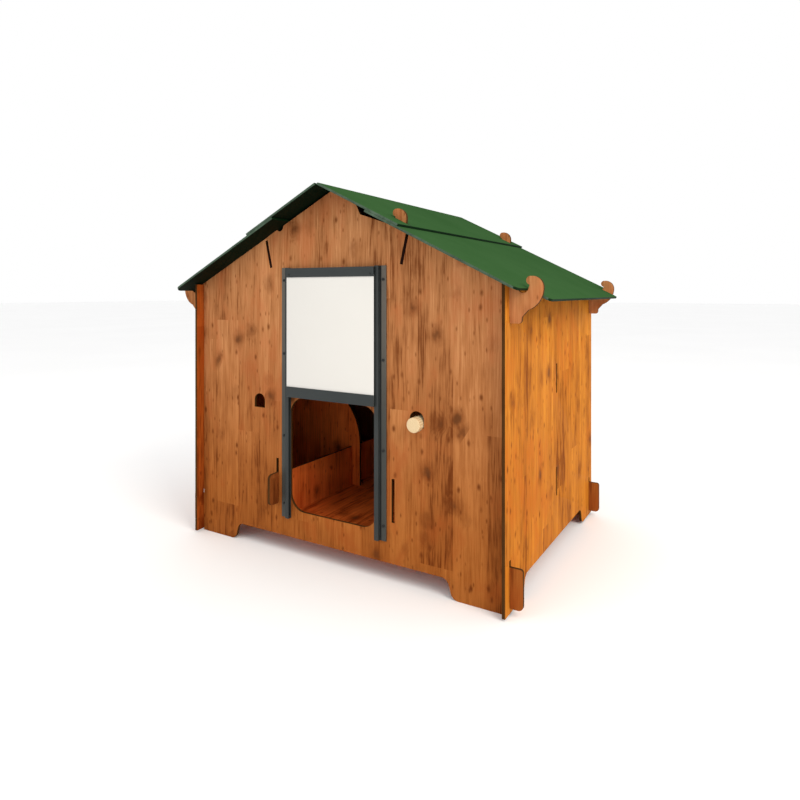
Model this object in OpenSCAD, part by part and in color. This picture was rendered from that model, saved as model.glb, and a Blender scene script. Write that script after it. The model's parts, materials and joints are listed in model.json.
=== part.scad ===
// Flat-pack poultry coop of slot-and-hook panels with an automatic sliding pop door.
// X runs across the front, Y runs from the front (-Y) to the back, Z is up.
// The origin lies on the ground, under the middle of the coop.

/* [Shell] */
// Width over the outer faces of the side walls
shell_w = 1000; // [960:5:1040]
// Length of the side walls from front to back
shell_d = 785; // [740:5:840]
// Height of the side walls' top edge
side_top = 755.5; // [755:0.5:756]
// Thickness of the wall, floor and inner panels
panel_t = 8; // [7.6:0.1:8]
// Distance from a side wall's end to the face of the front or rear wall
setback = 27; // [25:1:30]
// Height of the raised bottom edge between the feet
notch_h = 48; // [45:1:52]
// Height of the side walls' feet above the ground
side_lift = 5; // [3:1:6]

/* [Roof] */
// Height of the roof's top surface at the ridge line
ridge_z = 1018; // [1018:1:1018]
// Slope of the roof as rise over run
slope = 0.497; // [0.497:0.001:0.497]
// Thickness of a roof sheet
sheet_t = 6; // [5.8:0.1:6]
// Overhang of the roof in front of and behind the side walls
overhang = 42; // [38:1:60]
// Distance from the middle to the eave
eave_x = 592; // [590:1:600]

/* [Pop door] */
// Half the width of the pop hole
hole_half = 144; // [140:1:144]
// Height of the pop hole's lower edge
hole_z0 = 124; // [120:1:130]
// Height of the pop hole's upper edge
hole_z1 = 440; // [430:1:440]
// Travel of the door from open to closed
door_travel = 335; // [330:1:335]

/* [Perch] */
// Diameter of the perch
perch_d = 37; // [35:0.5:37]
// Distance of the perch holes from the middle
perch_x = 260; // [255:1:262]

/* [Hidden] */
$fn = 48;
e = 0.01;
fit = 0.3;

// Colours
wood = [0.60, 0.33, 0.15];
wood_inner = [0.48, 0.22, 0.10];
roof_green = [0.22, 0.42, 0.20];
slate = [0.22, 0.24, 0.24];
off_white = [0.94, 0.94, 0.92];
pale_wood = [0.86, 0.77, 0.60];
steel = [0.62, 0.63, 0.64];
dark_plastic = [0.10, 0.10, 0.11];

// Shell
half_w = shell_w / 2;
half_d = shell_d / 2;
inner_half = half_w - panel_t;
face_y = half_d - setback;
inner_y = face_y - panel_t;
slot_w = panel_t + 2 * fit;

// Feet: both curves of a foot have this radius, and their centres stand this far apart
foot_r = 20;
foot_run = 44;
foot_x = 328;
side_foot_y = half_d - 150;

// Tabs and hooks that pass through the side walls
tab_x = half_w + 32;
tab_z0 = 18;
tab_z1 = 111;
tab_root_z = 32;
tab_slot_z1 = 125;
step_x = half_w + 0.6;
hook_root_z = 676;
hook_foot_z = 662;
hook_foot_x = half_w + 29;

// The hook's arcs, measured from the centre of its throat
throat_r = 12.5;
crown = [21, -0.5, 26];
back = [-6.7, -0.5, 53.7];
tip = [17, 15.5, 10];
hook_drop = 10.1;
eave_hook_x = 532;
roof_hook_x = 184;

// Roof
pitch = atan(slope);
roof_half_y = half_d + overhang;
lap_gap = 0.2;
wall_drop = (2 * sheet_t + lap_gap + fit) / cos(pitch);
upper_s0 = 5.9;
upper_s1 = 276;
lower_s0 = 173;
lower_s1 = (eave_x + (sheet_t + lap_gap) * sin(pitch)) / cos(pitch);
tongue_s1 = 609.3;
upper_slot_s0 = 215.7;
lower_slot_s0 = 220;
roof_slot_s1 = 271;
roof_slot_w = 9;
tongue_y = inner_y - 5;

// Vent in the gable's top edge, on the right of the ridge
vent_x0 = 76;
vent_x1 = 91;
vent_x2 = 168;
vent_z1 = 935;
vent_z2 = 908.5;

// Floor and the bearers under it, which cross at these distances from the middle
floor_z = 90;
bearer_x = 300;
bearer_y = 215;
bearer_past = 32;
bearer_h = floor_z - panel_t;
bearer_lap = bearer_h / 2;

// Inner boards
divider_x = 192;
divider_top = 217;
divider_tab_out = 36;
div_slot = [152, 262];
div_root = [152.2, 222];
div_hook_z = 136;
wing_edge_x = 159;
wing_top = 560;
wing_low_slot = [170, 248];
wing_high_slot = [454, 535];
wing_root_h = 61;
wing_hang = 16;
wing_out = 30;
lap_z = 153;

// Purlins: centre of the plate's section, its lean and its extent along the lean
purlin_c = [225.5, 843.5];
purlin_lean = 13;
purlin_v = [-42.3, 43.5];
purlin_tab_v1 = 22;
purlin_slot_v = [-42.6, 37.5];

// Perch
perch_z = 408;
perch_groove = 10;
perch_hole_half = 20;
perch_hole_z0 = perch_z - perch_d / 2 + perch_groove;
perch_hole_zc = perch_hole_z0 + 20;
perch_out = 19;

// Door guides. Distances w are measured out from the front wall's face
screw_z = [140, 330, 560, 765];
rail_z0 = 102;
rail_z1 = 800;
rail_in = 142;
rail_body = 12.5;
rail_w = 11;
rail_out = 173;
flange_t = 3;
rail_wall = 1.8;
plate_w0 = 12;
plate_w1 = 16;
bar_w1 = 18;
door_half = 144.5;
door_z0 = 442;
low_bar_z1 = 471;
top_bar_z0 = 773;
door_z1 = 798;
plate_top = top_bar_z0 + 6;
skin = 1.6;
bar_screw_x = 135;
bar_screw_z = 780;

// Drive: the cover is the rear half of its case and the top bar is the front half
cover_half = 128;
cover_w0 = 1.2;
cover_z0 = top_bar_z0 + 1;
cover_z1 = door_z1 - 0.3;
cover_screw_x = [-118, 88];
cover_screw_z = 791.5;
post_r = 2.4;
post_w0 = 3;
neck_z = [779.4, 790.6];
gearbox_w = 11.4;
motor_x = 98;
motor_w = 9.4;
cell_len = 44.5;
cell_r = 5.2;
cell_x = [-112, -64];
cell_w = 9.4;
board_w = 6;
board_t = 1.6;
board_z1 = 790.5;
button_x = 40;
sensor_x = 58;
button_w = 7.4;
button_r = 3.6;
switch_z1 = 793.3;

// Rack and pinion, module 1
gear_m = 1;
gear_z = 16;
flank = 20;
addendum = 0.8;
dedendum = 1.05;
backlash = 0.15;
pitch_r = gear_m * gear_z / 2;
base_r = pitch_r * cos(flank);
tip_r = pitch_r + addendum;
root_r = pitch_r - dedendum;
rack_x = 148.15;
pinion_x = rack_x - pitch_r;
pinion_z = 785;
pinion_w = [3, 8.2];
rack_teeth = 114;
shaft_r = 1.5;

// ---------------------------------------------------------------- shared forms

function roof_z(x) = ridge_z - slope * x;
function hook_z(x) = roof_z(x) - hook_drop;
function arc(c, r, a0, a1, n) = [for (i = [0:n]) let (a = a0 + (a1 - a0) * i / n)
    [c[0] + r * cos(a), c[1] + r * sin(a)]];
function mirrored(pts) = [for (i = [len(pts) - 1:-1:0]) [-pts[i][0], pts[i][1]]];

// Stands an (x, z) outline up as a plate from y to y + t
module plate_xz(y, t) {
    translate([0, y + t, 0]) rotate([90, 0, 0]) linear_extrude(t) children();
}

// Stands a (y, z) outline up as a plate from x to x + t
module plate_yz(x, t) {
    translate([x, 0, 0]) rotate([90, 0, 90]) linear_extrude(t) children();
}

module rounded_rect(x0, z0, x1, z1, r) {
    translate([x0 + r, z0]) square([x1 - x0 - 2 * r, z1 - z0]);
    translate([x0, z0 + r]) square([x1 - x0, z1 - z0 - 2 * r]);
    for (x = [x0 + r, x1 - r], z = [z0 + r, z1 - r])
        translate([x, z]) circle(r);
}

module both_sides() {
    children();
    mirror([1, 0, 0]) children();
}

module front_and_back() {
    children();
    mirror([0, 1, 0]) children();
}

// ---------------------------------------------------------------- gable walls

function hook_from(c, back_a0, n) = concat(
    arc([c[0] + back[0], c[1] + back[1]], back[2], back_a0, 0, n),
    arc([c[0] + crown[0], c[1] + crown[1]], crown[2], 8, 97, 12),
    arc([c[0] + tip[0], c[1] + tip[1]], tip[2], 100, 260, 12),
    arc(c, throat_r, -10, -180, 14));

function wall_edge(x) = [x, roof_z(x) - wall_drop];

// Right half of a gable wall from the middle of its lower edge to the ridge
function gable_half(top_cut = []) = concat(
    arc([foot_x, notch_h - foot_r], foot_r, 90, 10, 8),
    arc([foot_x + foot_run, foot_r], foot_r, 190, 270, 8),
    [[inner_half - fit, 0], [inner_half - fit, tab_root_z], [step_x, tab_root_z]],
    arc([step_x + 3, tab_z0 + 3], 3, 180, 270, 4),
    arc([tab_x - 12, tab_z0 + 12], 12, 270, 360, 8),
    arc([tab_x - 7, tab_z1 - 7], 7, 0, 90, 6),
    [[inner_half - fit, tab_z1], [inner_half - fit, hook_root_z], [step_x, hook_root_z]],
    arc([step_x + 3, hook_foot_z + 3], 3, 180, 270, 4),
    arc([hook_foot_x - 8, hook_foot_z + 8], 8, 270, 360, 6),
    [[hook_foot_x + 0.5, hook_root_z + 1]],
    hook_from([eave_hook_x, hook_z(eave_hook_x)], -70, 12),
    [wall_edge(eave_hook_x - throat_r - 1.5), wall_edge(229)],
    hook_from([roof_hook_x, hook_z(roof_hook_x)], -22, 5),
    [wall_edge(roof_hook_x - throat_r - 1.5)], top_cut, [wall_edge(4)]);

function vent_edge() = [[vent_x2, vent_z2], [vent_x1, vent_z1], wall_edge(vent_x0)];

module purlin_frame() {
    translate(purlin_c) rotate(-purlin_lean) children();
}

// Cut-outs that the front and the rear wall share
module gable_cuts() {
    both_sides() {
        translate([divider_x - slot_w / 2, div_slot[0]])
            square([slot_w, div_slot[1] - div_slot[0]]);
        translate([perch_x - perch_hole_half, perch_hole_z0])
            square([2 * perch_hole_half, perch_hole_zc - perch_hole_z0]);
        translate([perch_x, perch_hole_zc]) circle(perch_hole_half);
        purlin_frame() translate([-slot_w / 2, purlin_slot_v[0]])
            square([slot_w, purlin_slot_v[1] - purlin_slot_v[0]]);
    }
}

module gable_2d() {
    difference() {
        polygon(concat(gable_half(vent_edge()), mirrored(gable_half())));
        gable_cuts();
        children();
    }
}

module front_wall() {
    color(wood) plate_xz(-face_y, panel_t)
        gable_2d() rounded_rect(-hole_half, hole_z0, hole_half, hole_z1, 48);
}

module rear_wall() {
    color(wood) plate_xz(inner_y, panel_t)
        gable_2d();
}

// ---------------------------------------------------------------- side walls

function side_half() = concat(
    arc([side_foot_y, side_lift + notch_h - foot_r], foot_r, 90, 10, 8),
    arc([side_foot_y + foot_run, side_lift + foot_r], foot_r, 190, 270, 8),
    [[half_d, side_lift], [half_d, side_top]]);

module side_cuts() {
    for (s = [-1, 1]) {
        translate([s * (face_y - panel_t / 2) - slot_w / 2, tab_root_z])
            square([slot_w, tab_slot_z1 - tab_root_z]);
        translate([s * (face_y - panel_t / 2) - slot_w / 2, hook_root_z])
            square([slot_w, side_top - hook_root_z + 1]);
    }
    for (z = [wing_low_slot, wing_high_slot])
        translate([-slot_w / 2, z[0]]) square([slot_w, z[1] - z[0]]);
}

module side_wall() {
    plate_yz(half_w - panel_t, panel_t)
        difference() {
            polygon(concat(side_half(), mirrored(side_half())));
            side_cuts();
        }
}

module right_side_wall() {
    color(wood) side_wall();
}

module left_side_wall() {
    color(wood) mirror([1, 0, 0]) side_wall();
}

// ---------------------------------------------------------------- floor and its bearers

module floor_panel() {
    color(wood_inner) translate([-inner_half + 0.5, -inner_y + 0.5, floor_z - panel_t])
        cube([2 * inner_half - 1, 2 * inner_y - 1, panel_t]);
}

// The long bearers are slotted from below and the cross bearers from above
module long_bearer() {
    color(wood_inner) plate_yz(bearer_x - panel_t / 2, panel_t) difference() {
        translate([-bearer_y - bearer_past, 0]) square([2 * (bearer_y + bearer_past), bearer_h]);
        for (s = [-1, 1])
            translate([s * bearer_y - slot_w / 2, -1]) square([slot_w, bearer_lap + 1]);
    }
}

module cross_bearer() {
    color(wood_inner) plate_xz(bearer_y - panel_t / 2, panel_t) difference() {
        translate([-bearer_x - bearer_past, 0]) square([2 * (bearer_x + bearer_past), bearer_h]);
        for (s = [-1, 1])
            translate([s * bearer_x - slot_w / 2, bearer_lap]) square([slot_w, bearer_lap + 1]);
    }
}

module right_bearer() {
    long_bearer();
}

module left_bearer() {
    mirror([1, 0, 0]) long_bearer();
}

module rear_bearer() {
    cross_bearer();
}

module front_bearer() {
    mirror([0, 1, 0]) cross_bearer();
}

// ---------------------------------------------------------------- nest boards

// End of the divider, with a tab that hooks down behind the wall's outer face
function divider_end() = let (out = face_y + divider_tab_out) concat(
    [[inner_y - fit, floor_z + 0.2], [inner_y - fit, div_root[0]],
        [face_y + 0.6, div_root[0]], [face_y + 0.6, div_hook_z]],
    arc([out - 12, div_hook_z + 12], 12, 270, 360, 8),
    arc([out - 12, div_root[1] - 12], 12, 0, 90, 8),
    [[inner_y - fit, div_root[1]], [inner_y - fit, divider_top]]);

module nest_divider() {
    color(wood_inner) plate_yz(-divider_x - panel_t / 2, panel_t) difference() {
        polygon(concat(divider_end(), mirrored(divider_end())));
        translate([-slot_w / 2, lap_z]) square([slot_w, divider_top - lap_z + 1]);
    }
}

// Tab of the wing: root through the side wall, and a part that hangs down outside
function wing_tab(z0) = let (out = half_w + wing_out, z1 = z0 + wing_root_h) concat(
    [[-inner_half + fit, z1]],
    arc([-out + 8, z1 - 8], 8, 90, 180, 6),
    arc([-out + 8, z0 - wing_hang + 8], 8, 180, 270, 6),
    [[-half_w - 0.6, z0 - wing_hang], [-half_w - 0.6, z0], [-inner_half + fit, z0]]);

module nest_wing() {
    color(wood_inner) plate_xz(-panel_t / 2, panel_t) difference() {
        polygon(concat(
            [[-wing_edge_x, floor_z + 0.2]],
            arc([-wing_edge_x - 200, 228], 200, 0, 84, 14),
            arc([-420 + 60, 488], 60, 270, 180, 10),
            arc([-420 - 20, wing_top - 20], 20, 0, 90, 6),
            [[-inner_half + fit, wing_top]],
            wing_tab(wing_high_slot[0]),
            wing_tab(wing_low_slot[0]),
            [[-inner_half + fit, floor_z + 0.2]]));
        translate([-divider_x - slot_w / 2, floor_z - 1]) square([slot_w, lap_z - floor_z + 1.2]);
    }
}

// ---------------------------------------------------------------- roof

// Leaning board under the lap of the two sheets, with a tab at each end
module purlin() {
    color(wood_inner) translate([purlin_c[0], 0, purlin_c[1]]) rotate([0, purlin_lean, 0]) {
        translate([-panel_t / 2, -inner_y + fit, purlin_v[0]])
            cube([panel_t, 2 * (inner_y - fit), purlin_v[1] - purlin_v[0]]);
        translate([-panel_t / 2, -face_y + 0.5, purlin_v[0]])
            cube([panel_t, 2 * (face_y - 0.5), purlin_tab_v1 - purlin_v[0]]);
    }
}

module right_purlin() {
    purlin();
}

module left_purlin() {
    mirror([1, 0, 0]) purlin();
}

// Lays an (s, y) outline on the right slope, its top surface this far below the roof line
module on_slope(drop) {
    translate([0, 0, ridge_z]) rotate([0, pitch, 0]) translate([0, 0, -drop - sheet_t])
        linear_extrude(sheet_t) children();
}

module roof_slots(s0) {
    for (s = [-1, 1])
        translate([s0, s * (face_y - panel_t / 2) - roof_slot_w / 2])
            square([roof_slot_s1 - s0, roof_slot_w]);
}

module upper_sheet() {
    color(roof_green) on_slope(0) difference() {
        translate([upper_s0, -roof_half_y]) square([upper_s1 - upper_s0, 2 * roof_half_y]);
        roof_slots(upper_slot_s0);
    }
}

// Corner of a lower sheet: the tongue that the eave hook holds, then the eave behind the hook
function lower_corner() = concat(
    [[lower_s0, roof_half_y]],
    arc([tongue_s1 - 22, roof_half_y - 22], 22, 90, 0, 8),
    arc([tongue_s1 + 4, tongue_y + 4], 4, 180, 270, 4),
    arc([lower_s1 - 14, tongue_y - 14], 14, 90, 0, 6));

function flipped(pts) = [for (i = [len(pts) - 1:-1:0]) [pts[i][0], -pts[i][1]]];

module lower_sheet() {
    color(roof_green) on_slope(sheet_t + lap_gap) difference() {
        polygon(concat(lower_corner(), flipped(lower_corner())));
        roof_slots(lower_slot_s0);
    }
}

module roof_upper_right() {
    upper_sheet();
}

module roof_upper_left() {
    mirror([1, 0, 0]) upper_sheet();
}

module roof_lower_right() {
    lower_sheet();
}

module roof_lower_left() {
    mirror([1, 0, 0]) lower_sheet();
}

// ---------------------------------------------------------------- perch

module perch() {
    len = 2 * (face_y + perch_out);
    chamfer = 1.5;
    color(pale_wood) difference() {
        translate([perch_x, len / 2, perch_z]) rotate([90, 0, 0])
            rotate_extrude($fn = 64) polygon([[0, 0], [perch_d / 2 - chamfer, 0],
                [perch_d / 2, chamfer], [perch_d / 2, len - chamfer],
                [perch_d / 2 - chamfer, len], [0, len]]);
        front_and_back() translate([perch_x - perch_d, inner_y - 0.7, perch_z - perch_d])
            cube([2 * perch_d, panel_t + 1.4, perch_d / 2 + perch_groove + 0.2]);
    }
}

// ---------------------------------------------------------------- door guides

// Section of the right-hand guide, in x and distance out from the wall
module rail_2d() {
    difference() {
        union() {
            translate([rail_in, 0]) square([rail_body, rail_w]);
            translate([rail_in, 0]) square([rail_out - rail_in, flange_t]);
        }
        translate([rail_in - 1, rail_wall]) square([rail_body - rail_wall + 1, rail_w - 2 * rail_wall]);
    }
}

// Extrudes an (x, w) section up from z0 to z1 in front of the wall
module upright(z0, z1) {
    translate([0, -face_y, z0]) mirror([0, 1, 0]) linear_extrude(z1 - z0) children();
}

module rail() {
    difference() {
        upright(rail_z0, rail_z1) rail_2d();
        for (z = screw_z)
            translate([rail_out - 8, -face_y + 1, z]) rotate([90, 0, 0]) cylinder(r = 2.1, h = 6);
    }
}

module right_rail() {
    color(slate) rail();
}

module left_rail() {
    color(slate) mirror([1, 0, 0]) rail();
}

module rail_screws() {
    color(steel) both_sides() for (z = screw_z) translate([rail_out - 8, -face_y - flange_t, z])
        rotate([90, 0, 0]) {
            difference() {
                cylinder(r = 3.6, h = 1.8);
                translate([0, 0, 0.8]) cylinder(r = 1.5, h = 2, $fn = 6);
            }
            translate([0, 0, -flange_t + 0.1]) cylinder(r = 2, h = flange_t);
        }
}

// Plugs that close the guides' channels at both ends and stop the door
module rail_end_plugs() {
    plug = 8;
    color(dark_plastic) both_sides() {
        upright(rail_z0, rail_z0 + plug) translate([rail_in + 0.5, rail_wall + 0.1])
            square([rail_body - rail_wall - 0.6, rail_w - 2 * rail_wall - 0.2]);
        upright(rail_z1 - 4, rail_z1) translate([rail_in + 0.5, rail_wall + 0.1])
            square([rail_body - rail_wall - 0.6, rail_w - 2 * rail_wall - 0.2]);
    }
}

// One rack tooth at height z, pointing towards the pinion
function rack_tooth(z) = let (h = PI * gear_m / 4 - backlash / 2, t = tan(flank)) [
    [rack_x + dedendum, z - h - dedendum * t], [rack_x - addendum, z - h + addendum * t],
    [rack_x - addendum, z + h - addendum * t], [rack_x + dedendum, z + h + dedendum * t]];

module gear_rack() {
    step = PI * gear_m;
    z_top = pinion_z + 3 * step;
    z_low = z_top - (rack_teeth - 1) * step;
    body_x = rail_in + rail_body - rail_wall - 0.1;
    teeth = [for (i = [rack_teeth - 1:-1:0], p = rack_tooth(z_top - i * step)) p];
    color(dark_plastic) plate_xz(-face_y - pinion_w[1] - 0.4, 6)
        polygon(concat([[body_x, z_low - step / 2]], [[rack_x + dedendum, z_low - step / 2]],
            teeth, [[rack_x + dedendum, z_top + step / 2]], [[body_x, z_top + step / 2]]));
}

// ---------------------------------------------------------------- door

module door_plate() {
    color(off_white) upright(door_z0 + 3, plate_top)
        translate([-door_half, plate_w0]) square([2 * door_half, plate_w1 - plate_w0]);
}

// Front half of the drive's case, with two posts for the cover's screws
module door_top_bar() {
    depth = bar_w1 - plate_w0;
    color(slate) difference() {
        union() {
            difference() {
                upright(top_bar_z0, door_z1)
                    translate([-door_half, plate_w0]) square([2 * door_half, depth]);
                upright(plate_top + 0.2, door_z1 - skin)
                    translate([-door_half + skin, plate_w0 - 1])
                        square([2 * (door_half - skin), depth - skin + 1]);
            }
            for (x = cover_screw_x) translate([x, -face_y - post_w0, cover_screw_z])
                rotate([90, 0, 0]) cylinder(r = post_r, h = bar_w1 - skin / 2 - post_w0);
        }
        upright(top_bar_z0 - 1, plate_top + 0.3) translate([-door_half - 1, plate_w0 - 1])
            square([2 * door_half + 2, plate_w1 - plate_w0 + 1.2]);
        for (x = cover_screw_x) translate([x, -face_y - post_w0 + 1, cover_screw_z])
            rotate([90, 0, 0]) cylinder(r = 1.15, h = 7);
        for (s = [-1, 1]) translate([s * bar_screw_x, -face_y, bar_screw_z])
            rotate([90, 0, 0]) cylinder(r = 1.3, h = 30);
    }
}

module door_bottom_bar() {
    color(slate) {
        upright(door_z0, low_bar_z1) translate([-door_half, plate_w1])
            square([2 * door_half, bar_w1 - plate_w1]);
        upright(door_z0, door_z0 + 2.8) translate([-door_half, plate_w0])
            square([2 * door_half, plate_w1 - plate_w0 + e]);
    }
}

module bar_screws() {
    color(steel) for (s = [-1, 1]) translate([s * bar_screw_x, -face_y - bar_w1, bar_screw_z])
        rotate([90, 0, 0]) {
            difference() {
                cylinder(r = 2.4, h = 1);
                translate([0, 0, 0.4]) cylinder(r = 1, h = 2, $fn = 6);
            }
            translate([0, 0, -skin]) cylinder(r = 1.2, h = skin);
        }
}

// Shoes behind the plate, whose lips run behind the guides' front lips
module slider_shoes() {
    color(dark_plastic) both_sides() for (z = [door_z0 + 5, 728]) upright(z, z + 28) {
        translate([128, 2.4]) square([12.5, plate_w0 - 2.4]);
        translate([128, 2.4]) square([18.4, 6.2]);
    }
}

// ---------------------------------------------------------------- drive

// Rear half of the drive's case. The gear unit's neck leaves through its right end
module drive_cover() {
    color(dark_plastic) difference() {
        upright(cover_z0, cover_z1) translate([-cover_half, cover_w0])
            square([2 * cover_half, plate_w0 - cover_w0 - 0.1]);
        upright(cover_z0 + skin, cover_z1 - skin) translate([-cover_half + skin, cover_w0 + skin])
            square([2 * (cover_half - skin), plate_w0 - cover_w0]);
        upright(neck_z[0] - 0.3, neck_z[1] + 0.3) translate([cover_half - 4, 8.7]) square([8, 8]);
        for (x = cover_screw_x) translate([x, -face_y, cover_screw_z]) rotate([90, 0, 0])
            cylinder(r = 1.2, h = 5);
        translate([button_x, -face_y - button_w, cover_z1 - 3]) cylinder(r = button_r + 0.25, h = 6);
        translate([sensor_x, -face_y - button_w, cover_z1 - 3]) cylinder(r = 2.6, h = 6);
    }
}

module cover_screws() {
    color(steel) for (x = cover_screw_x) translate([x, -face_y - 0.4, cover_screw_z])
        rotate([90, 0, 0]) {
            cylinder(r = 2, h = 0.8);
            cylinder(r = 1.1, h = 7);
        }
}

// Sealed right-angle gear unit; the pinion's shaft comes out of its back
module gearbox() {
    color(dark_plastic) difference() {
        union() {
            upright(neck_z[0], 793.5) translate([129.5, gearbox_w]) square([13, 16 - gearbox_w]);
            upright(neck_z[0], neck_z[1]) translate([122, 9]) square([8, 7]);
        }
        translate([pinion_x, -face_y - gearbox_w + 1, pinion_z]) rotate([90, 0, 0])
            cylinder(r = shaft_r + 0.05, h = 4.5);
    }
}

module drive_motor() {
    color(steel) translate([motor_x, -face_y - motor_w, pinion_z]) rotate([0, 90, 0]) {
        cylinder(r = 5, h = 23.8);
        translate([0, 0, -1.5]) cylinder(r = 2, h = 1.6);
    }
}

function involute(r) = let (t = sqrt(pow(r / base_r, 2) - 1)) t * 180 / PI - atan(t);
tooth_half_angle = (PI * gear_m / 4 - backlash / 2) / pitch_r * 180 / PI + involute(pitch_r);
flank_radii = [base_r, base_r + 0.15, base_r + 0.45, base_r + 0.85, tip_r];

function gear_tooth(a) = concat(
    [polar(root_r, a - tooth_half_angle)],
    [for (r = flank_radii) polar(r, a - tooth_half_angle + involute(r))],
    [for (i = [len(flank_radii) - 1:-1:0]) polar(flank_radii[i],
        a + tooth_half_angle - involute(flank_radii[i]))],
    [polar(root_r, a + tooth_half_angle)]);
function polar(r, a) = [r * cos(a), r * sin(a)];

module drive_pinion() {
    color(off_white) translate([pinion_x, -face_y - pinion_w[0], pinion_z]) rotate([90, 0, 0]) {
        linear_extrude(pinion_w[1] - pinion_w[0])
            polygon([for (i = [0:gear_z - 1], p = gear_tooth(360 / gear_z * (i + 0.5))) p]);
        translate([0, 0, -0.8]) cylinder(r = shaft_r, h = gearbox_w + 3 - pinion_w[0] + 0.8);
    }
}

// Cradle for two cells in a row
module battery_holder() {
    color(dark_plastic) difference() {
        upright(pinion_z - 7.5, pinion_z + 4) translate([cell_x[0] - 4, 3.2]) square([101, 8]);
        for (x = cell_x) translate([x - 0.6, -face_y - cell_w, pinion_z]) rotate([0, 90, 0])
            cylinder(r = cell_r + 0.3, h = cell_len + 2.4);
    }
}

module battery_cells() {
    color(roof_green) for (x = cell_x) translate([x, -face_y - cell_w, pinion_z])
        rotate([0, 90, 0]) {
            cylinder(r = cell_r, h = cell_len - 0.8);
            cylinder(r = 1.9, h = cell_len + 0.2);
        }
}

// Board with its switch, its controller and its terminal block
module control_board() {
    color([0.10, 0.30, 0.18]) difference() {
        upright(cover_z0 + skin + 0.5, board_z1) translate([-8, board_w]) square([90, board_t]);
        translate([-3, -face_y, pinion_z]) rotate([90, 0, 0]) cylinder(r = 1.6, h = 20);
    }
    color(dark_plastic) {
        upright(board_z1 - 3, switch_z1) translate([button_x - 3, board_w - 1.6]) square([6, 6]);
        upright(779.5, 787.5) translate([12, board_w + board_t - e]) square([8, 1.4]);
        upright(780, 786) translate([66, board_w + board_t - e]) square([12, 5]);
    }
}

module light_sensor() {
    color([0.75, 0.82, 0.85]) translate([sensor_x, -face_y - button_w, board_z1 + 1]) {
        cylinder(r = 2.5, h = cover_z1 + 0.6 - board_z1 - 1);
        translate([0, 0, -0.6]) cylinder(r = 1.6, h = 1);
    }
}

module push_button() {
    color([0.70, 0.15, 0.10]) translate([button_x, -face_y - button_w, switch_z1 + 1.3]) {
        cylinder(r = button_r, h = 4.8);
        cylinder(r = button_r + 0.6, h = 1.3);
    }
}

front_wall();
rear_wall();
left_side_wall();
right_side_wall();
floor_panel();
left_bearer();
right_bearer();
front_bearer();
rear_bearer();
nest_divider();
nest_wing();
left_purlin();
right_purlin();
roof_upper_left();
roof_upper_right();
roof_lower_left();
roof_lower_right();
perch();
left_rail();
right_rail();
rail_screws();
rail_end_plugs();
gear_rack();
door_plate();
door_top_bar();
door_bottom_bar();
bar_screws();
slider_shoes();
drive_cover();
cover_screws();
drive_motor();
gearbox();
drive_pinion();
battery_holder();
battery_cells();
control_board();
light_sensor();
push_button();
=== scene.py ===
"""A flat-pack poultry coop: pine-print panels with dark cores, a green roof and a slate door guide."""

import json
import math

import bmesh
import bpy
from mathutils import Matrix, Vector


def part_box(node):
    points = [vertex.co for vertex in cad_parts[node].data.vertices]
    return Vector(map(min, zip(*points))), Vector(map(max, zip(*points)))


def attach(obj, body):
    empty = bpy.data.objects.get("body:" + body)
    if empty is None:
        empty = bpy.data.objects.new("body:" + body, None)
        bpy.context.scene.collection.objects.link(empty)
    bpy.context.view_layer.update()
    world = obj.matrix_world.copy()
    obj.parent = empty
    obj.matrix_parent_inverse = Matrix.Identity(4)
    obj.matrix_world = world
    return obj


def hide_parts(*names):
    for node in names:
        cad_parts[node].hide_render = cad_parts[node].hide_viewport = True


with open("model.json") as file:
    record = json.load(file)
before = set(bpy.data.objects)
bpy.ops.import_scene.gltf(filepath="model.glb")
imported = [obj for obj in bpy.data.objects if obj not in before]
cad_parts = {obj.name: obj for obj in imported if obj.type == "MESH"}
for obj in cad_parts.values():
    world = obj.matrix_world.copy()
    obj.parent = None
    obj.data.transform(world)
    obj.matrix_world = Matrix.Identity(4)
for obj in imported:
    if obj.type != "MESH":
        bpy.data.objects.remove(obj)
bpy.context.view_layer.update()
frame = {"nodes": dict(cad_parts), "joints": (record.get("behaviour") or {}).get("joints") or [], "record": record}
NODES = frame["nodes"]
BODY_OF = {node: body for body, nodes in frame["record"]["behaviour"]["bodies"].items() for node in nodes}

# ---------------------------------------------------------------- camera and light

# Places in metres, angles in degrees, lens and sensor in millimetres
CAMERA_PLACE = (0.996, -1.6795, 0.734)
CAMERA_PITCH = 90
CAMERA_YAW = 30.81
CAMERA_SHIFT = -0.1356
LENS = 27.56
SENSOR = 36

ROOM_WHITE = (1.0, 1.0, 1.0, 1)
ROOM_STRENGTH = 1.0
LIGHTS_AIM = (0, 0, 0.5)


def add_camera():
    """A level camera off the front right corner, a little below the eaves."""
    data = bpy.data.cameras.new("camera")
    data.lens = LENS
    data.sensor_width = SENSOR
    data.shift_y = CAMERA_SHIFT
    camera = bpy.data.objects.new("camera", data)
    camera.location = CAMERA_PLACE
    camera.rotation_euler = (math.radians(CAMERA_PITCH), 0, math.radians(CAMERA_YAW))
    bpy.context.scene.collection.objects.link(camera)
    bpy.context.scene.camera = camera


def add_area_light(name, place, size, power, color):
    """A square lamp aimed at the middle of the coop."""
    data = bpy.data.lights.new(name, "AREA")
    data.size = size
    data.energy = power
    data.color = color
    light = bpy.data.objects.new(name, data)
    light.location = place
    light.rotation_euler = (Vector(LIGHTS_AIM) - Vector(place)).to_track_quat("-Z", "Y").to_euler()
    bpy.context.scene.collection.objects.link(light)


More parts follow.
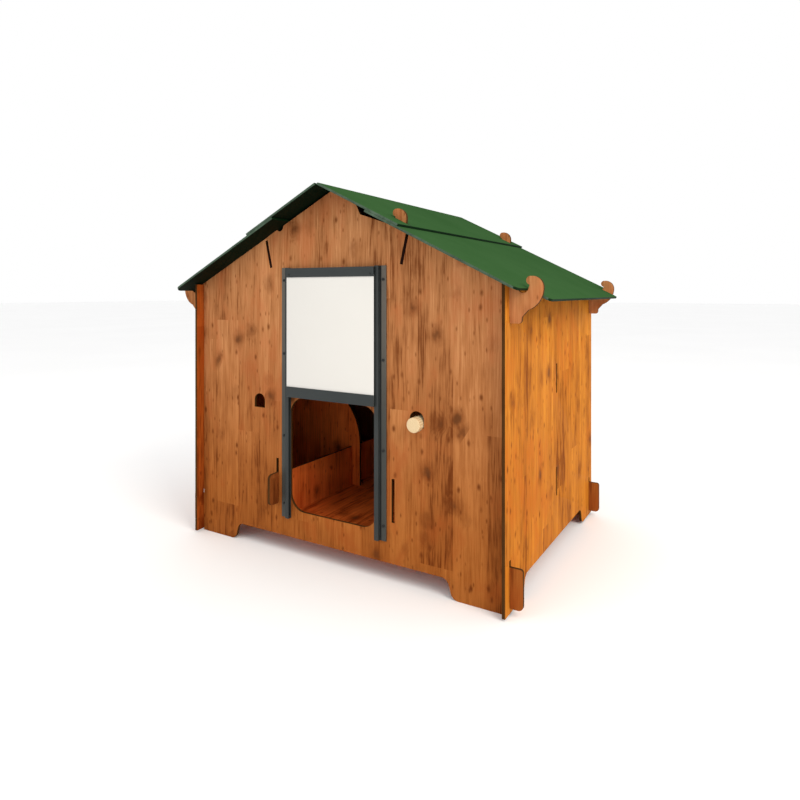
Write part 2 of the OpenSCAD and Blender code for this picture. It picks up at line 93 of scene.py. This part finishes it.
def light_studio():
    """A white room, a warm key from the right and a soft fill from the left front."""
    world = bpy.data.worlds.new("studio")
    world.use_nodes = True
    world.node_tree.nodes["Background"].inputs["Color"].default_value = ROOM_WHITE
    world.node_tree.nodes["Background"].inputs["Strength"].default_value = ROOM_STRENGTH
    bpy.context.scene.world = world
    bpy.context.scene.view_settings.view_transform = "Standard"
    add_area_light("key", place=(3.4, -1.5, 3.0), size=2.2, power=110, color=(1.0, 0.95, 0.86))
    add_area_light("fill", place=(-1.6, -3.4, 2.4), size=2.6, power=15, color=(1.0, 0.99, 0.97))


# ---------------------------------------------------------------- material building

NOISE_MIDDLE = 0.5
# The part of a noise's range over which a colour or a roughness goes from one end to the other
NOISE_SPAN = (0.3, 0.7)
GRAIN_SPAN = (0.2, 0.8)


class Graph:
    """One material's node tree, with a short call for each kind of node used here."""

    def __init__(self, name, **surface):
        self.material = bpy.data.materials.new(name)
        self.material.use_nodes = True
        self.tree = self.material.node_tree
        self.bsdf = self.tree.nodes["Principled BSDF"]
        for socket, value in surface.items():
            self.bsdf.inputs[socket.replace("_", " ")].default_value = value

    def node(self, kind, inputs=(), **settings):
        node = self.tree.nodes.new(kind)
        for key, value in settings.items():
            setattr(node, key, value)
        for key, value in dict(inputs).items():
            if value is None:
                continue
            if isinstance(value, bpy.types.NodeSocket):
                self.tree.links.new(value, node.inputs[key])
            else:
                node.inputs[key].default_value = value
        return node

    def point(self):
        """The point in the row frame, in metres."""
        return self.node("ShaderNodeTexCoord").outputs["Object"]

    def place(self):
        """The x, y and z of the point."""
        return list(self.node("ShaderNodeSeparateXYZ", {0: self.point()}).outputs)

    def vector(self, x, y, z):
        return self.node("ShaderNodeCombineXYZ", {0: x, 1: y, 2: z}).outputs[0]

    def stretch(self, place, rates):
        """The point with each axis taken at its own rate, in pattern units per metre."""
        return self.vector(*(self.times(axis, rate) for axis, rate in zip(place, rates)))

    def math(self, operation, a, b=None):
        return self.node("ShaderNodeMath", {0: a, 1: b}, operation=operation).outputs[0]

    def times(self, a, b):
        return self.math("MULTIPLY", a, b)

    def plus(self, a, b):
        return self.math("ADD", a, b)

    def weighted(self, start, *terms):
        """start and the sum of values times their weights."""
        result = start
        for value, weight in terms:
            result = self.plus(result, self.times(value, weight))
        return result

    def average(self, a, b, share):
        """The mean of a and b, in which a has that share."""
        return self.plus(self.times(a, share), self.times(b, 1 - share))

    def noise(self, vector, scale=1.0, detail=2.0, roughness=0.5):
        inputs = {"Vector": vector, "Scale": scale, "Detail": detail, "Roughness": roughness}
        return self.node("ShaderNodeTexNoise", inputs).outputs[0]

    def swing(self, vector, amount, **options):
        """Noise from about -amount to +amount."""
        centred = self.plus(self.noise(vector, **options), -NOISE_MIDDLE)
        return self.times(centred, amount / NOISE_MIDDLE)

    def random(self, vector):
        return self.node("ShaderNodeTexWhiteNoise", {"Vector": vector}, noise_dimensions="3D").outputs[0]

    def cells(self, vector):
        """Distance to the nearest of a set of scattered points, and that point's own random number."""
        cell = self.node("ShaderNodeTexVoronoi", {"Vector": vector, "Scale": 1.0})
        own = self.node("ShaderNodeSeparateColor", {0: cell.outputs["Color"]}).outputs[0]
        return cell.outputs["Distance"], own

    def fade(self, value, low, high, to_low=0.0, to_high=1.0):
        """A smooth step from to_low at low to to_high at high."""
        inputs = {"Value": value, 1: low, 2: high, 3: to_low, 4: to_high}
        return self.node("ShaderNodeMapRange", inputs, interpolation_type="SMOOTHSTEP").outputs[0]

    def fall(self, value, low, high):
        """A smooth step down, from 1 at low to 0 at high."""
        return self.fade(value, low, high, 1.0, 0.0)

    def ramp(self, factor, stops):
        node = self.node("ShaderNodeValToRGB", {0: factor})
        elements = node.color_ramp.elements
        while len(elements) < len(stops):
            elements.new(0.5)
        for element, (position, color) in zip(elements, stops):
            element.position = position
            element.color = (*color, 1)
        return node.outputs[0]

    def between(self, tone, dark, light):
        """The dark colour where the tone is low and the light one where it is high."""
        return self.ramp(tone, list(zip(NOISE_SPAN, (dark, light))))

    def mix(self, factor, a, b, blend="MIX"):
        node = self.node("ShaderNodeMix", data_type="RGBA", blend_type=blend)
        for socket, value in ((node.inputs[0], factor), (node.inputs[6], a), (node.inputs[7], b)):
            if isinstance(value, bpy.types.NodeSocket):
                self.tree.links.new(value, socket)
            elif isinstance(value, tuple):
                socket.default_value = (*value, 1)
            else:
                socket.default_value = value
        return node.outputs[2]

    def finish(self, color, roughness, height=None, bump=0.0, depth=0.0):
        """Joins the looks to the surface. height is the relief, bump its strength, depth its metres."""
        self.tree.links.new(color, self.bsdf.inputs["Base Color"])
        self.tree.links.new(roughness, self.bsdf.inputs["Roughness"])
        if height is not None:
            relief = self.node("ShaderNodeBump", {"Strength": bump, "Distance": depth, "Height": height})
            self.tree.links.new(relief.outputs[0], self.bsdf.inputs["Normal"])
        return self.material


# ---------------------------------------------------------------- the pine print

BOARD_WIDTH = 0.088
BOARD_LENGTH = 0.55
# How far the hearts of the boards differ and where they lie, in board widths
HEART_SPREAD = 1.3
HEART_SHIFT = 0.15

# How far one unit of the seed moves the print, and what tells apart the draws made from one seed
SEED_STEP = (0.731, 0.417)
JOINT_DRAW, BLOTCH_DRAW, HEART_DRAW, PIN_DRAW, DASH_DRAW = 0.5, 2.0, 4.0, 7.0, 9.0

# Knots of three sizes: the width and length of the cell that can hold one, and the share that do
KNOT_CELL, KNOT_SHARE = (0.074, 0.090), 0.50
PIN_CELL, PIN_SHARE = (0.026, 0.046), 0.40
DASH_CELL, DASH_SHARE = (0.011, 0.028), 0.28
SHARE_STEP = 0.02
# Where their dark fades out, in cells from the middle, and how ragged the edges are
KNOT_CORE, KNOT_HALO = (0.02, 0.20), (0.04, 0.46)
PIN_CORE = (0.02, 0.28)
DASH_CORE = (0.05, 0.32)
KNOT_RAGGED = 0.20
PIN_RAGGED = 0.6

# Growth rings: how many across a board and along a metre, how far they wander, how far boards and
# knots shift them, where they are broken, and how dark the wood is along one ring
RINGS_ACROSS = 9.0
RINGS_ALONG = 7.0
RING_DRIFT = 1.5
RING_SHIFT = 9.0
RING_PUSH = 2.2
RING_BREAKS = (-0.15, 0.12)
RING_PROFILE = [(0.0, 0.25), (0.12, 0.0), (0.5, 0.12), (0.86, 1.0), (1.0, 0.25)]

# What the middle colour is multiplied by in dark, light and reddish wood
DARK_WOOD = (0.42, 0.30, 0.22)
LIGHT_WOOD = (1.34, 1.50, 1.70)
RED_WOOD = (0.92, 0.60, 0.50)
KNOT_BROWN = (0.085, 0.030, 0.010)

# The tone's middle, and the spans over which it turns from dark to middle and from middle to light
TONE_MIDDLE = 0.62
DARK_SPAN, LIGHT_SPAN = (0.0, 0.56), (0.50, 1.05)
RED_SPAN, RED_STRENGTH = (-0.05, 0.30), 0.55
PITH_SPAN = (0.10, 0.20)

# Heights between which the print's middle colour goes from the low one, painted shade near the
# ground, to the high one, painted light at the top, and the width of the change to the darker colour
# of ends outdoors, painted shade
PAINTED_LIGHT_HEIGHTS = (0.05, 0.85)
SHADE_STEP = 0.002
PRINT_GLOSS = 0.03
PRINT_ROUGH = 0.64


class Print(Graph):
    """The node tree of a board print. u is the place across the grain and v the place along it."""

    def __init__(self, name, across, along, seed):
        super().__init__(name, Specular_IOR_Level=PRINT_GLOSS)
        self.axes = dict(zip("xyz", self.place()))
        self.seed = seed
        self.u = self.plus(self.axes[across], seed * SEED_STEP[0])
        self.v = self.plus(self.axes[along], seed * SEED_STEP[1])

    def grid(self, across, along, shift):
        """u and v with so many pattern units per metre, and a shift that tells patterns apart."""
        return self.vector(self.times(self.u, across), self.times(self.v, along), shift)

    def streaks(self, across, along, shift, amount=0.5, detail=2.0):
        """Noise from -amount to +amount, with so many waves per metre across and along the grain."""
        return self.swing(self.grid(across, along, shift), amount, detail=detail)

    def boards(self):
        """Boards side by side with scattered joints: each one's own random number, and the place
        across it from its heart, in board widths."""
        across = self.times(self.u, 1 / BOARD_WIDTH)
        column = self.math("FLOOR", across)
        joint = self.random(self.vector(column, self.seed, JOINT_DRAW))
        row = self.math("FLOOR", self.plus(self.times(self.v, 1 / BOARD_LENGTH), joint))
        board = self.random(self.vector(column, row, self.seed))
        heart = self.random(self.vector(row, column, self.seed + HEART_DRAW))
        inside = self.plus(self.math("FRACT", across), self.times(heart, -HEART_SPREAD))
        return board, self.plus(inside, HEART_SHIFT)

    def scattered(self, cell, share, shift):
        """Distance from scattered points, in cells, and 1 in the share of the cells with a knot."""
        width, length = cell
        distance, pick = self.cells(self.grid(1 / width, 1 / length, shift))
        return distance, self.fade(pick, 1 - share, 1 - share + SHARE_STEP)

    def knots(self, pins):
        """The large knots' cores and soft halos, the pin knots and the short dark dashes."""
        ragged = self.streaks(60, 30, self.seed, amount=KNOT_RAGGED, detail=3.0)
        knot, knot_here = self.scattered(KNOT_CELL, KNOT_SHARE, self.seed)
        pin, pin_here = self.scattered(PIN_CELL, pins, self.seed + PIN_DRAW)
        dash, dash_here = self.scattered(DASH_CELL, DASH_SHARE, self.seed + DASH_DRAW)
        edge = self.plus(knot, ragged)
        pin_edge = self.plus(pin, self.times(ragged, PIN_RAGGED))
        return (
            self.times(self.fall(edge, *KNOT_CORE), knot_here),
            self.times(self.fall(edge, *KNOT_HALO), knot_here),
            self.times(self.fall(pin_edge, *PIN_CORE), pin_here),
            self.times(self.fall(dash, *DASH_CORE), dash_here))

    def late_wood(self, board, inside, halo):
        """Growth rings: parabolas round each board's heart, pushed aside by knots, with breaks."""
        drift = self.streaks(9.0, 2.2, self.times(board, 31.0), amount=RING_DRIFT, detail=3.0)
        rings = self.weighted(drift, (self.times(inside, inside), RINGS_ACROSS), (self.v, RINGS_ALONG),
                              (board, RING_SHIFT), (halo, RING_PUSH))
        profile = [(place, (level,) * 3) for place, level in RING_PROFILE]
        late = self.ramp(self.math("FRACT", rings), profile)
        return self.times(late, self.fade(self.streaks(14, 4, board), *RING_BREAKS))


def pine_print(name, across, along, low, high, seed, pins=PIN_SHARE, outside=None):
    """Knotty pine boards glued side by side. low and high are the middle colours near the
    ground and at the top, the darker low one painted shade and the lighter high one painted light;
    across and along name the print's axes, and pins is the share of cells with a pin knot.
    outside is (axis, distance, colour) for ends that show outdoors, whose darker colour is painted
    shade."""
    g = Print(name, across, along, seed)
    board, inside = g.boards()
    knot_core, knot_halo, pin_core, dash_core = g.knots(pins)
    late = g.late_wood(board, inside, knot_halo)
    wide = g.streaks(26, 1.6, g.times(board, 3.0))
    blotch = g.streaks(24, 11, seed + BLOTCH_DRAW, detail=4.0)
    streak = g.streaks(75, 3.2, g.times(board, 5.0), detail=3.0)
    thin = g.streaks(170, 6.5, g.times(board, 7.0))
    fibre = g.streaks(300, 14, 0.0)
    cloud = g.streaks(3.2, 2.4, seed)
    pith = g.fade(g.streaks(62, 1.1, g.times(board, 9.0)), *PITH_SPAN)
    tone = g.weighted(
        TONE_MIDDLE, (g.plus(board, -0.5), 0.34), (wide, 0.95), (blotch, 0.90), (streak, 0.65),
        (thin, 0.85), (fibre, 0.85), (cloud, 0.45), (pith, -0.14), (late, -0.17))

    # Painted shade near the ground and painted light at the top: the middle colour runs from low to high
    middle = g.mix(g.fade(g.axes["z"], *PAINTED_LIGHT_HEIGHTS), low, high)
    # Painted shade: ends that stand outdoors past the walls take the darker outside colour
    if outside is not None:
        axis, distance, shade = outside
        reach = g.math("ABSOLUTE", g.axes[axis])
        middle = g.mix(g.fade(reach, distance, distance + SHADE_STEP), middle, shade)
    dark, light, reddish = (
        g.mix(1.0, middle, change, "MULTIPLY") for change in (DARK_WOOD, LIGHT_WOOD, RED_WOOD))
    color = g.mix(g.fade(tone, *DARK_SPAN), dark, middle)
    color = g.mix(g.fade(tone, *LIGHT_SPAN), color, light)
    color = g.mix(g.times(g.fade(g.plus(cloud, blotch), *RED_SPAN), RED_STRENGTH), color, reddish)
    for spot, strength, shade in ((knot_halo, 0.72, dark), (dash_core, 0.72, dark),
                                  (pin_core, 0.95, dark), (knot_core, 0.66, KNOT_BROWN)):
        color = g.mix(g.times(spot, strength), color, shade)

    roughness = g.weighted(PRINT_ROUGH, (fibre, 0.10), (late, 0.06), (knot_core, -0.08))
    relief = g.weighted(0.0, (fibre, 0.5), (late, -0.4), (streak, 0.3))
    return g.finish(color, roughness, relief, bump=0.18, depth=0.0004)


# ---------------------------------------------------------------- the other materials


def skin(name, dark, light, fine, broad, share, rough, gloss, bump, depth=0.0002, sawn=False):
    """A fine grain over a slow change of shade. fine and broad say how the two noises look, and
    share is the grain's part in the colour. rough is the roughness from low to high: it follows
    the shade, or the grain where the surface is sawn."""
    g = Graph(name, Specular_IOR_Level=gloss)
    point = g.point()
    grain, shade = g.noise(point, **fine), g.noise(point, **broad)
    color = g.between(g.average(grain, shade, share), dark, light)
    roughness = g.fade(grain, *GRAIN_SPAN, *rough) if sawn else g.fade(shade, *NOISE_SPAN, *rough)
    return g.finish(color, roughness, grain, bump, depth)


def dark_core(name, dark, light):
    """The cut edge of a compact laminate: dark resin and paper, finely grained and a little patchy."""
    return skin(name, dark, light, fine={"scale": 900, "detail": 3.0}, broad={"scale": 22},
                share=0.6, rough=(0.5, 0.75), gloss=0.02, bump=0.25, sawn=True)


def roof_top():
    """Matt green laminate with a fine pearl texture and faint dust."""
    return skin("roof_top", (0.027, 0.076, 0.023), (0.038, 0.094, 0.032), fine={"scale": 1400},
                broad={"scale": 5.0, "detail": 5.0, "roughness": 0.6},
                share=0.35, rough=(0.42, 0.56), gloss=0.0, bump=0.25, depth=0.0003)


def roof_back(name, dark, light):
    """Dark green backing, seen under the eaves, and the near-black green of the sheets' ends, which is painted
    shade.
    """
    return skin(name, dark, light, fine={"scale": 1100}, broad={"scale": 8.0, "detail": 3.0},
                share=0.3, rough=(0.55, 0.75), gloss=0.06, bump=0.2)


def roof_edge():
    """The sheets' sawn edge: grey-green with a chalky wear."""
    return skin("roof_edge", (0.006, 0.020, 0.008), (0.075, 0.125, 0.080),
                fine={"scale": 600, "detail": 3.0}, broad={"scale": 30, "detail": 4.0, "roughness": 0.65},
                share=0.4, rough=(0.5, 0.8), gloss=0.3, bump=0.3, sawn=True)


def door_sheet():
    """Off-white door sheet with a soft satin skin."""
    return skin("door_sheet", (0.675, 0.655, 0.615), (0.695, 0.675, 0.635), fine={"scale": 700},
                broad={"scale": 4.0, "detail": 4.0}, share=0.3, rough=(0.30, 0.42), gloss=0.45, bump=0.02)


def moulded(name, dark, light, rough=(0.38, 0.55), grain_scale=1500):
    """Moulded plastic with a fine spark-eroded grain."""
    return skin(name, dark, light, fine={"scale": grain_scale}, broad={"scale": 35},
                share=0.5, rough=rough, gloss=0.5, bump=0.15)


# Powder coat: the orange-peel skin and the slow change of shade that all its colours share
COAT_PEEL = {"scale": 900, "detail": 1.0}
COAT_SHADE = {"scale": 9, "detail": 3.0}
COAT_SHARE = 0.35
COAT_ROUGH = (0.40, 0.52)
COAT_GLOSS = 0.25
COAT_BUMP = 0.12
COAT_DEPTH = 0.0002

# The guides: the channel's width, the width of the corner between it and the flange, where a
# near-black line is painted shade, and the heights between which the flange turns lighter upwards, painted light
CHANNEL_WIDTH = 0.0125
CORNER = 0.003
FLANGE_LIGHT_HEIGHTS = (0.30, 0.75)


def powder_coat(name, dark, light):
    """Powder coat in one colour."""
    return skin(name, dark, light, COAT_PEEL, COAT_SHADE, COAT_SHARE, COAT_ROUGH, COAT_GLOSS,
                COAT_BUMP, COAT_DEPTH)


def rail_coat():
    """The guides' coat: a paler flange beside the channel, painted lighter towards its top as painted
    light, and a near-black line of painted shade in the corner between them.
    """
    g = Graph("rail_coat", Specular_IOR_Level=COAT_GLOSS)
    point = g.point()
    x, _, z = g.place()
    peel, shade = g.noise(point, **COAT_PEEL), g.noise(point, **COAT_SHADE)
    tone = g.average(peel, shade, COAT_SHARE)
    channel = g.between(tone, (0.020, 0.024, 0.024), (0.032, 0.037, 0.036))
    # Painted light: the flange goes from the low colour near the bottom to a lighter, browner one at the top
    low = g.between(tone, (0.038, 0.040, 0.035), (0.052, 0.053, 0.047))
    high = g.between(tone, (0.088, 0.078, 0.064), (0.115, 0.102, 0.084))
    flange = g.mix(g.fade(z, *FLANGE_LIGHT_HEIGHTS), low, high)
    channel_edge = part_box("right_rail")[0].x + CHANNEL_WIDTH
    past_edge = g.plus(g.math("ABSOLUTE", x), -channel_edge)
    color = g.mix(g.fade(past_edge, CORNER, 2 * CORNER), channel, flange)
    # Painted shade: a near-black line along the corner between the channel and the flange
    corner_shade = g.times(g.fade(past_edge, 0.0, CORNER / 3), g.fall(past_edge, CORNER, 2 * CORNER))
    color = g.mix(g.times(corner_shade, 0.85), color, (0.004, 0.004, 0.004))
    return g.finish(color, g.fade(shade, *NOISE_SPAN, *COAT_ROUGH), peel, COAT_BUMP, COAT_DEPTH)


def turned_wood():
    """Pale wood, with its grain along the bar and growth rings on its ends."""
    rings_per_metre = 420
    heart_shift = Vector((0.006, 0, -0.004))
    heart = sum(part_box("perch"), Vector()) / 2 + heart_shift
    g = Graph("turned_wood", Specular_IOR_Level=0.3)
    place = g.place()
    dx, dz = g.plus(place[0], -heart.x), g.plus(place[2], -heart.z)
    radius = g.math("SQRT", g.plus(g.times(dx, dx), g.times(dz, dz)))
    wobble = g.swing(g.stretch(place, (40, 3, 40)), 0.35)
    ring = g.math("FRACT", g.plus(g.times(radius, rings_per_metre), wobble))
    fibre = g.noise(g.stretch(place, (500, 9, 500)), detail=3.0)
    tone = g.average(g.fade(ring, 0.1, 0.95), fibre, share=0.45)
    color = g.ramp(tone, [(0.15, (0.76, 0.60, 0.37)), (0.85, (0.56, 0.39, 0.20))])
    return g.finish(color, g.fade(fibre, *NOISE_SPAN, 0.50, 0.68), fibre, bump=0.25, depth=0.0003)


def brushed_metal(name, dark, light, rates):
    """Metal with brush marks drawn out along the axis that has the lowest rate."""
    g = Graph(name, Metallic=1.0)
    marks = g.noise(g.stretch(g.place(), rates), detail=3.0)
    roughness = g.fade(marks, *NOISE_SPAN, 0.28, 0.45)
    return g.finish(g.between(marks, dark, light), roughness, marks, bump=0.1, depth=0.0001)


def cell_jacket():
    """Printed metal jacket in plain green, with a bright band round each cell."""
    band_rate = 132
    g = Graph("cell_jacket", Specular_IOR_Level=0.5, Metallic=0.3)
    place = g.place()
    band = g.fade(g.math("SINE", g.times(place[0], band_rate)), 0.55, 0.62)
    scuff = g.noise(g.stretch(place, (60, 400, 400)), detail=3.0)
    base = g.between(scuff, (0.020, 0.110, 0.045), (0.035, 0.170, 0.070))
    color = g.mix(band, base, (0.55, 0.42, 0.16))
    return g.finish(color, g.fade(scuff, *NOISE_SPAN, 0.25, 0.42), scuff, bump=0.05, depth=0.0001)


def circuit_board():
    """Green solder mask with copper tracks just showing through."""
    g = Graph("circuit_board", Specular_IOR_Level=0.5)
    x, _, z = g.place()
    track = g.node("ShaderNodeTexBrick", {
        "Vector": g.vector(x, z, 0.0), "Scale": 260.0,
        "Color1": (0.012, 0.100, 0.040, 1), "Color2": (0.010, 0.080, 0.034, 1),
        "Mortar": (0.030, 0.180, 0.060, 1), "Mortar Size": 0.05})
    haze = g.noise(g.point(), scale=120)
    color = g.mix(g.times(haze, 0.3), track.outputs[0], (0.02, 0.12, 0.05))
    roughness = g.fade(haze, *NOISE_SPAN, 0.25, 0.40)
    return g.finish(color, roughness, track.outputs[1], bump=0.1, depth=0.0001)


def studio_floor():
    """Near-white floor with hardly any mottle."""
    g = Graph("studio_floor", Specular_IOR_Level=0.1)
    mottle = g.noise(g.point(), scale=0.8, detail=3.0)
    color = g.between(mottle, (0.94, 0.94, 0.94), (0.96, 0.96, 0.96))
    return g.finish(color, g.fade(mottle, *NOISE_SPAN, 0.82, 0.92))


# ---------------------------------------------------------------- the finishes

# The print's middle colours, darker near the ground as painted shade and lighter at the top as
# painted light, and the distances from the middle at which the boards' ends take the darker outdoor
# colour, painted shade, close to the walls' outer faces
FRONT_SHADED_LOW, FRONT_LIT_HIGH = (0.285, 0.083, 0.015), (0.420, 0.172, 0.063)
SIDE_SHADED_LOW, SIDE_LIT_HIGH = (0.440, 0.142, 0.013), (0.472, 0.160, 0.016)
SHADED = (0.300, 0.062, 0.008)
# The tabs' colour is painted shade on the board ends that stand outdoors
SHADED_TAB = (0.185, 0.048, 0.010)
INNER = (0.600, 0.112, 0.018)
PAST_FRONT, PAST_SIDE = 0.364, 0.499
SIDE_PINS = 0.62

front_print = pine_print("front_print", "x", "z", FRONT_SHADED_LOW, FRONT_LIT_HIGH, seed=3.0)
side_print = pine_print("side_print", "y", "z", SIDE_SHADED_LOW, SIDE_LIT_HIGH, seed=11.0, pins=SIDE_PINS)
# Painted shade: the side walls' inner faces take the darker SHADED colour for the shade inside the coop
side_inner = pine_print("side_inner", "y", "z", SHADED, SHADED, seed=13.0)
board_print = pine_print("board_print", "y", "z", INNER, INNER, seed=5.0, outside=("y", PAST_FRONT, SHADED_TAB))
wing_print = pine_print("wing_print", "x", "z", INNER, INNER, seed=8.0, outside=("x", PAST_SIDE, SHADED_TAB))
floor_print = pine_print("floor_print", "x", "y", INNER, INNER, seed=2.0)
core = dark_core("dark_core", (0.036, 0.014, 0.004), (0.090, 0.038, 0.010))
# A near-black core, much darker than the other boards' cores, for the purlins' edges under the roof
darkest = dark_core("darkest_core", (0.006, 0.002, 0.001), (0.018, 0.006, 0.004))
green, sawn_green = roof_top(), roof_edge()
backing = roof_back("roof_back", (0.0012, 0.0042, 0.0014), (0.0025, 0.0078, 0.0026))
# Painted shade: the sheets' ends are near-black green for the shadow line where the upper sheet laps the lower one
shaded_roof_end = roof_back("shaded_roof_end", (0.0020, 0.0120, 0.0030), (0.0050, 0.0240, 0.0070))
rail_slate = rail_coat()
bar_slate = powder_coat("bar_coat", (0.022, 0.027, 0.027), (0.031, 0.037, 0.037))
black = moulded("black_moulding", (0.006, 0.006, 0.007), (0.016, 0.016, 0.018))
acetal = moulded("acetal", (0.72, 0.71, 0.66), (0.82, 0.81, 0.77), rough=(0.30, 0.42))
lens = moulded("sensor_lens", (0.50, 0.55, 0.58), (0.62, 0.67, 0.70), rough=(0.08, 0.16), grain_scale=300)
red = moulded("red_button", (0.38, 0.025, 0.018), (0.50, 0.045, 0.030), rough=(0.28, 0.40))
black_screw = powder_coat("black_screw", (0.012, 0.013, 0.013), (0.024, 0.026, 0.025))
steel = brushed_metal("brushed_steel", (0.38, 0.38, 0.39), (0.62, 0.62, 0.63), rates=(20, 900, 900))

# ---------------------------------------------------------------- pieces made from the frame

# An edge is sharp above the first angle, faces are merged up to the second, and points closer than
# the distance are one
SHARP = math.radians(35)
PLANAR = math.radians(0.3)
SAME_POINT = 2e-6
# A face shows a board's front when its normal is this near, and an end when it leans this far
FACING = 0.9
ENDWAYS = 0.5

# A board's finishes, in the order of its material slots
FRONT, BACK, EDGE, END = range(4)

# Widths of the broken edges, in metres
PANEL_BREAK = 0.0005
SHEET_BREAK = 0.0008
RAIL_BREAK = 0.0004
BAR_BREAK = 0.0005
PERCH_BREAK = 0.0006
SMALL_BREAK = 0.0003

PURLIN_LEAN = math.radians(13)


def copied_form(node):
    """A CAD node's form with its flat faces made whole again."""
    form = bmesh.new()
    form.from_mesh(NODES[node].data)
    bmesh.ops.remove_doubles(form, verts=form.verts, dist=SAME_POINT)
    bmesh.ops.dissolve_limit(form, angle_limit=PLANAR, verts=form.verts, edges=form.edges)
    return form


def break_edges(form, width, segments=2):
    """Bevels the sharp edges."""
    edges = [e for e in form.edges if len(e.link_faces) == 2 and e.calc_face_angle(0) > SHARP]
    bmesh.ops.bevel(form, geom=edges, offset=width, segments=segments, profile=0.6,
                    affect="EDGES", clamp_overlap=True)


def add_piece(name, form, node, materials):
    """Turns a form into a piece that stands for a CAD node and rides on its body."""
    form.normal_update()
    for edge in form.edges:
        edge.smooth = len(edge.link_faces) == 2 and edge.calc_face_angle(0) < SHARP
    for face in form.faces:
        face.smooth = True
    mesh = bpy.data.meshes.new(name)
    form.to_mesh(mesh)
    form.free()
    for material in materials:
        mesh.materials.append(material)
    piece = bpy.data.objects.new(name, mesh)
    bpy.context.scene.collection.objects.link(piece)
    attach(piece, BODY_OF[node])
    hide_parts(node)


def add_board(node, normal, front, back, edge, end=None, width=PANEL_BREAK):
    """A sheet or panel: one finish on the side its normal points to, one on the other and one on
    the cut edges. The edges that face along X can have a finish of their own."""
    form = copied_form(node)
    break_edges(form, width)
    form.normal_update()
    direction = Vector(normal).normalized()
    for face in form.faces:
        towards = face.normal.dot(direction)
        if towards > FACING:
            face.material_index = FRONT
        elif towards < -FACING:
            face.material_index = BACK
        elif end is not None and abs(face.normal.x) > ENDWAYS:
            face.material_index = END
        else:
            face.material_index = EDGE
    add_piece(node + "_board", form, node, [front, back, edge] + ([end] if end else []))


def add_solid(node, material, width, segments=2):
    """A solid in one finish, with its sharp edges broken."""
    form = copied_form(node)
    break_edges(form, width, segments)
    add_piece(node + "_solid", form, node, [material])


def dress(node, material):
    """Gives a CAD node its finish."""
    for slot in NODES[node].material_slots:
        slot.material = material


def build_panels():
    """The walls, the floor and all the inner boards."""
    for node in ("front_wall", "rear_wall"):
        add_board(node, (0, -1, 0), front_print, front_print, core)
    add_board("left_side_wall", (-1, 0, 0), side_print, side_inner, core)
    add_board("right_side_wall", (1, 0, 0), side_print, side_inner, core)
    add_board("floor_panel", (0, 0, 1), floor_print, floor_print, core)
    for node in ("left_bearer", "right_bearer", "nest_divider"):
        add_board(node, (1, 0, 0), board_print, board_print, core)
    for node in ("front_bearer", "rear_bearer", "nest_wing"):
        add_board(node, (0, -1, 0), wing_print, wing_print, core)
    for side, node in ((1, "right_purlin"), (-1, "left_purlin")):
        normal = (side * math.cos(PURLIN_LEAN), 0, -math.sin(PURLIN_LEAN))
        add_board(node, normal, board_print, board_print, darkest)


def roof_pitch():
    """The slope of the roof, from the direction in which a sheet slides."""
    axis = next(j["axis"] for j in frame["joints"] if j["name"] == "roof_upper_right_slide")
    return math.atan2(axis[2], -axis[0])


def build_roof():
    """The four sheets."""
    pitch = roof_pitch()
    for side, hand in ((1, "right"), (-1, "left")):
        up = (side * math.sin(pitch), 0, math.cos(pitch))
        for level in ("upper", "lower"):
            add_board(f"roof_{level}_{hand}", up, green, backing, sawn_green, shaded_roof_end, SHEET_BREAK)


def build_door():
    """The guides, the door with its drive's outside, and the perch."""
    for node in ("left_rail", "right_rail"):
        add_solid(node, rail_slate, RAIL_BREAK)
    for node in ("door_top_bar", "door_bottom_bar"):
        add_solid(node, bar_slate, BAR_BREAK)
    sheet = door_sheet()
    add_board("door_plate", (0, -1, 0), sheet, sheet, bar_slate)
    add_solid("perch", turned_wood(), PERCH_BREAK, segments=3)
    for node in ("drive_cover", "slider_shoes", "rail_end_plugs"):
        add_solid(node, black, SMALL_BREAK)


def dress_inner_parts():
    """The screws, the button, the sensor and what is inside the door unit keep the CAD's form."""
    for node in ("gear_rack", "gearbox", "battery_holder"):
        dress(node, black)
    for node in ("rail_screws", "bar_screws", "cover_screws"):
        dress(node, black_screw)
    dress("drive_motor", steel)
    dress("drive_pinion", acetal)
    dress("battery_cells", cell_jacket())
    dress("control_board", circuit_board())
    dress("light_sensor", lens)
    dress("push_button", red)


# ---------------------------------------------------------------- stage

FLOOR_REACH = 40.0
FLOOR_CELLS = 8


def add_floor():
    """A wide pale floor under the feet."""
    form = bmesh.new()
    bmesh.ops.create_grid(form, x_segments=FLOOR_CELLS, y_segments=FLOOR_CELLS, size=FLOOR_REACH)
    mesh = bpy.data.meshes.new("studio_floor")
    form.to_mesh(mesh)
    form.free()
    mesh.materials.append(studio_floor())
    floor = bpy.data.objects.new("studio_floor", mesh)
    bpy.context.scene.collection.objects.link(floor)


add_camera()
light_studio()
add_floor()
build_panels()
build_roof()
build_door()
dress_inner_parts()
